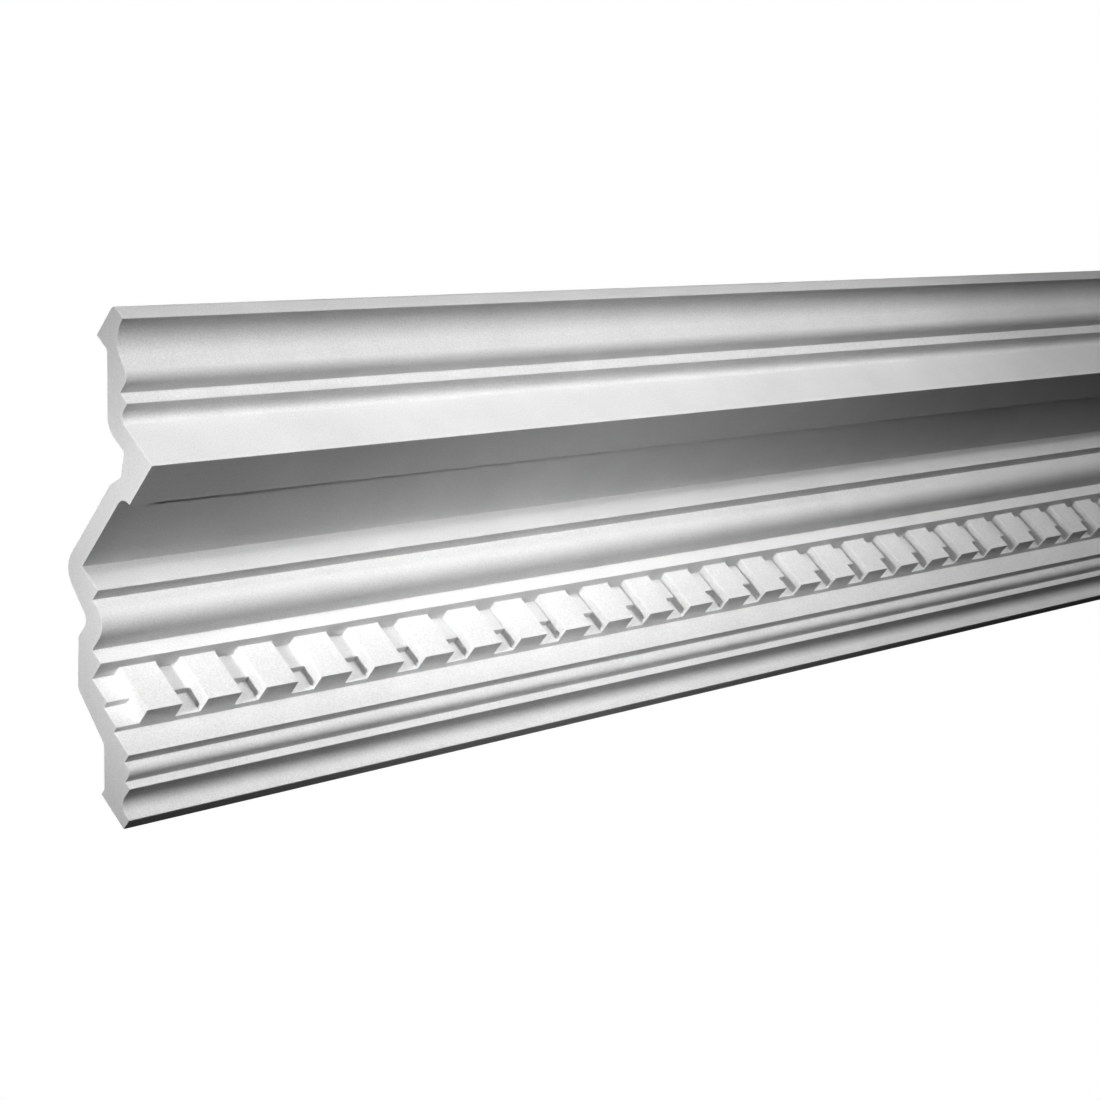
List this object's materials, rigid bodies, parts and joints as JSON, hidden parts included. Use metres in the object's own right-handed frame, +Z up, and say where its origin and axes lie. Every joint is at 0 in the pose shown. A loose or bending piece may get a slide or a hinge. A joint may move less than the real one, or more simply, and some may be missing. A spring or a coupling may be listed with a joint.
{
  "type": "cornice moulding",
  "caption": "Straight length of stepped cornice moulding with a row of dentils, open behind, for the corner between a wall and a ceiling.",
  "frame": {"origin": "centre of the face that is fixed to the wall, halfway along the length", "axes": "+X along the length, to the right as seen from the room; +Y into the wall, square to it; +Z up to the ceiling"},
  "size_m": [1.008, 0.18, 0.157],
  "materials": {
    "primed_casting": "matt factory primer"
  },
  "bodies": {
    "root": {"cornice_moulding": "primed_casting"}
  },
  "joints": []
}
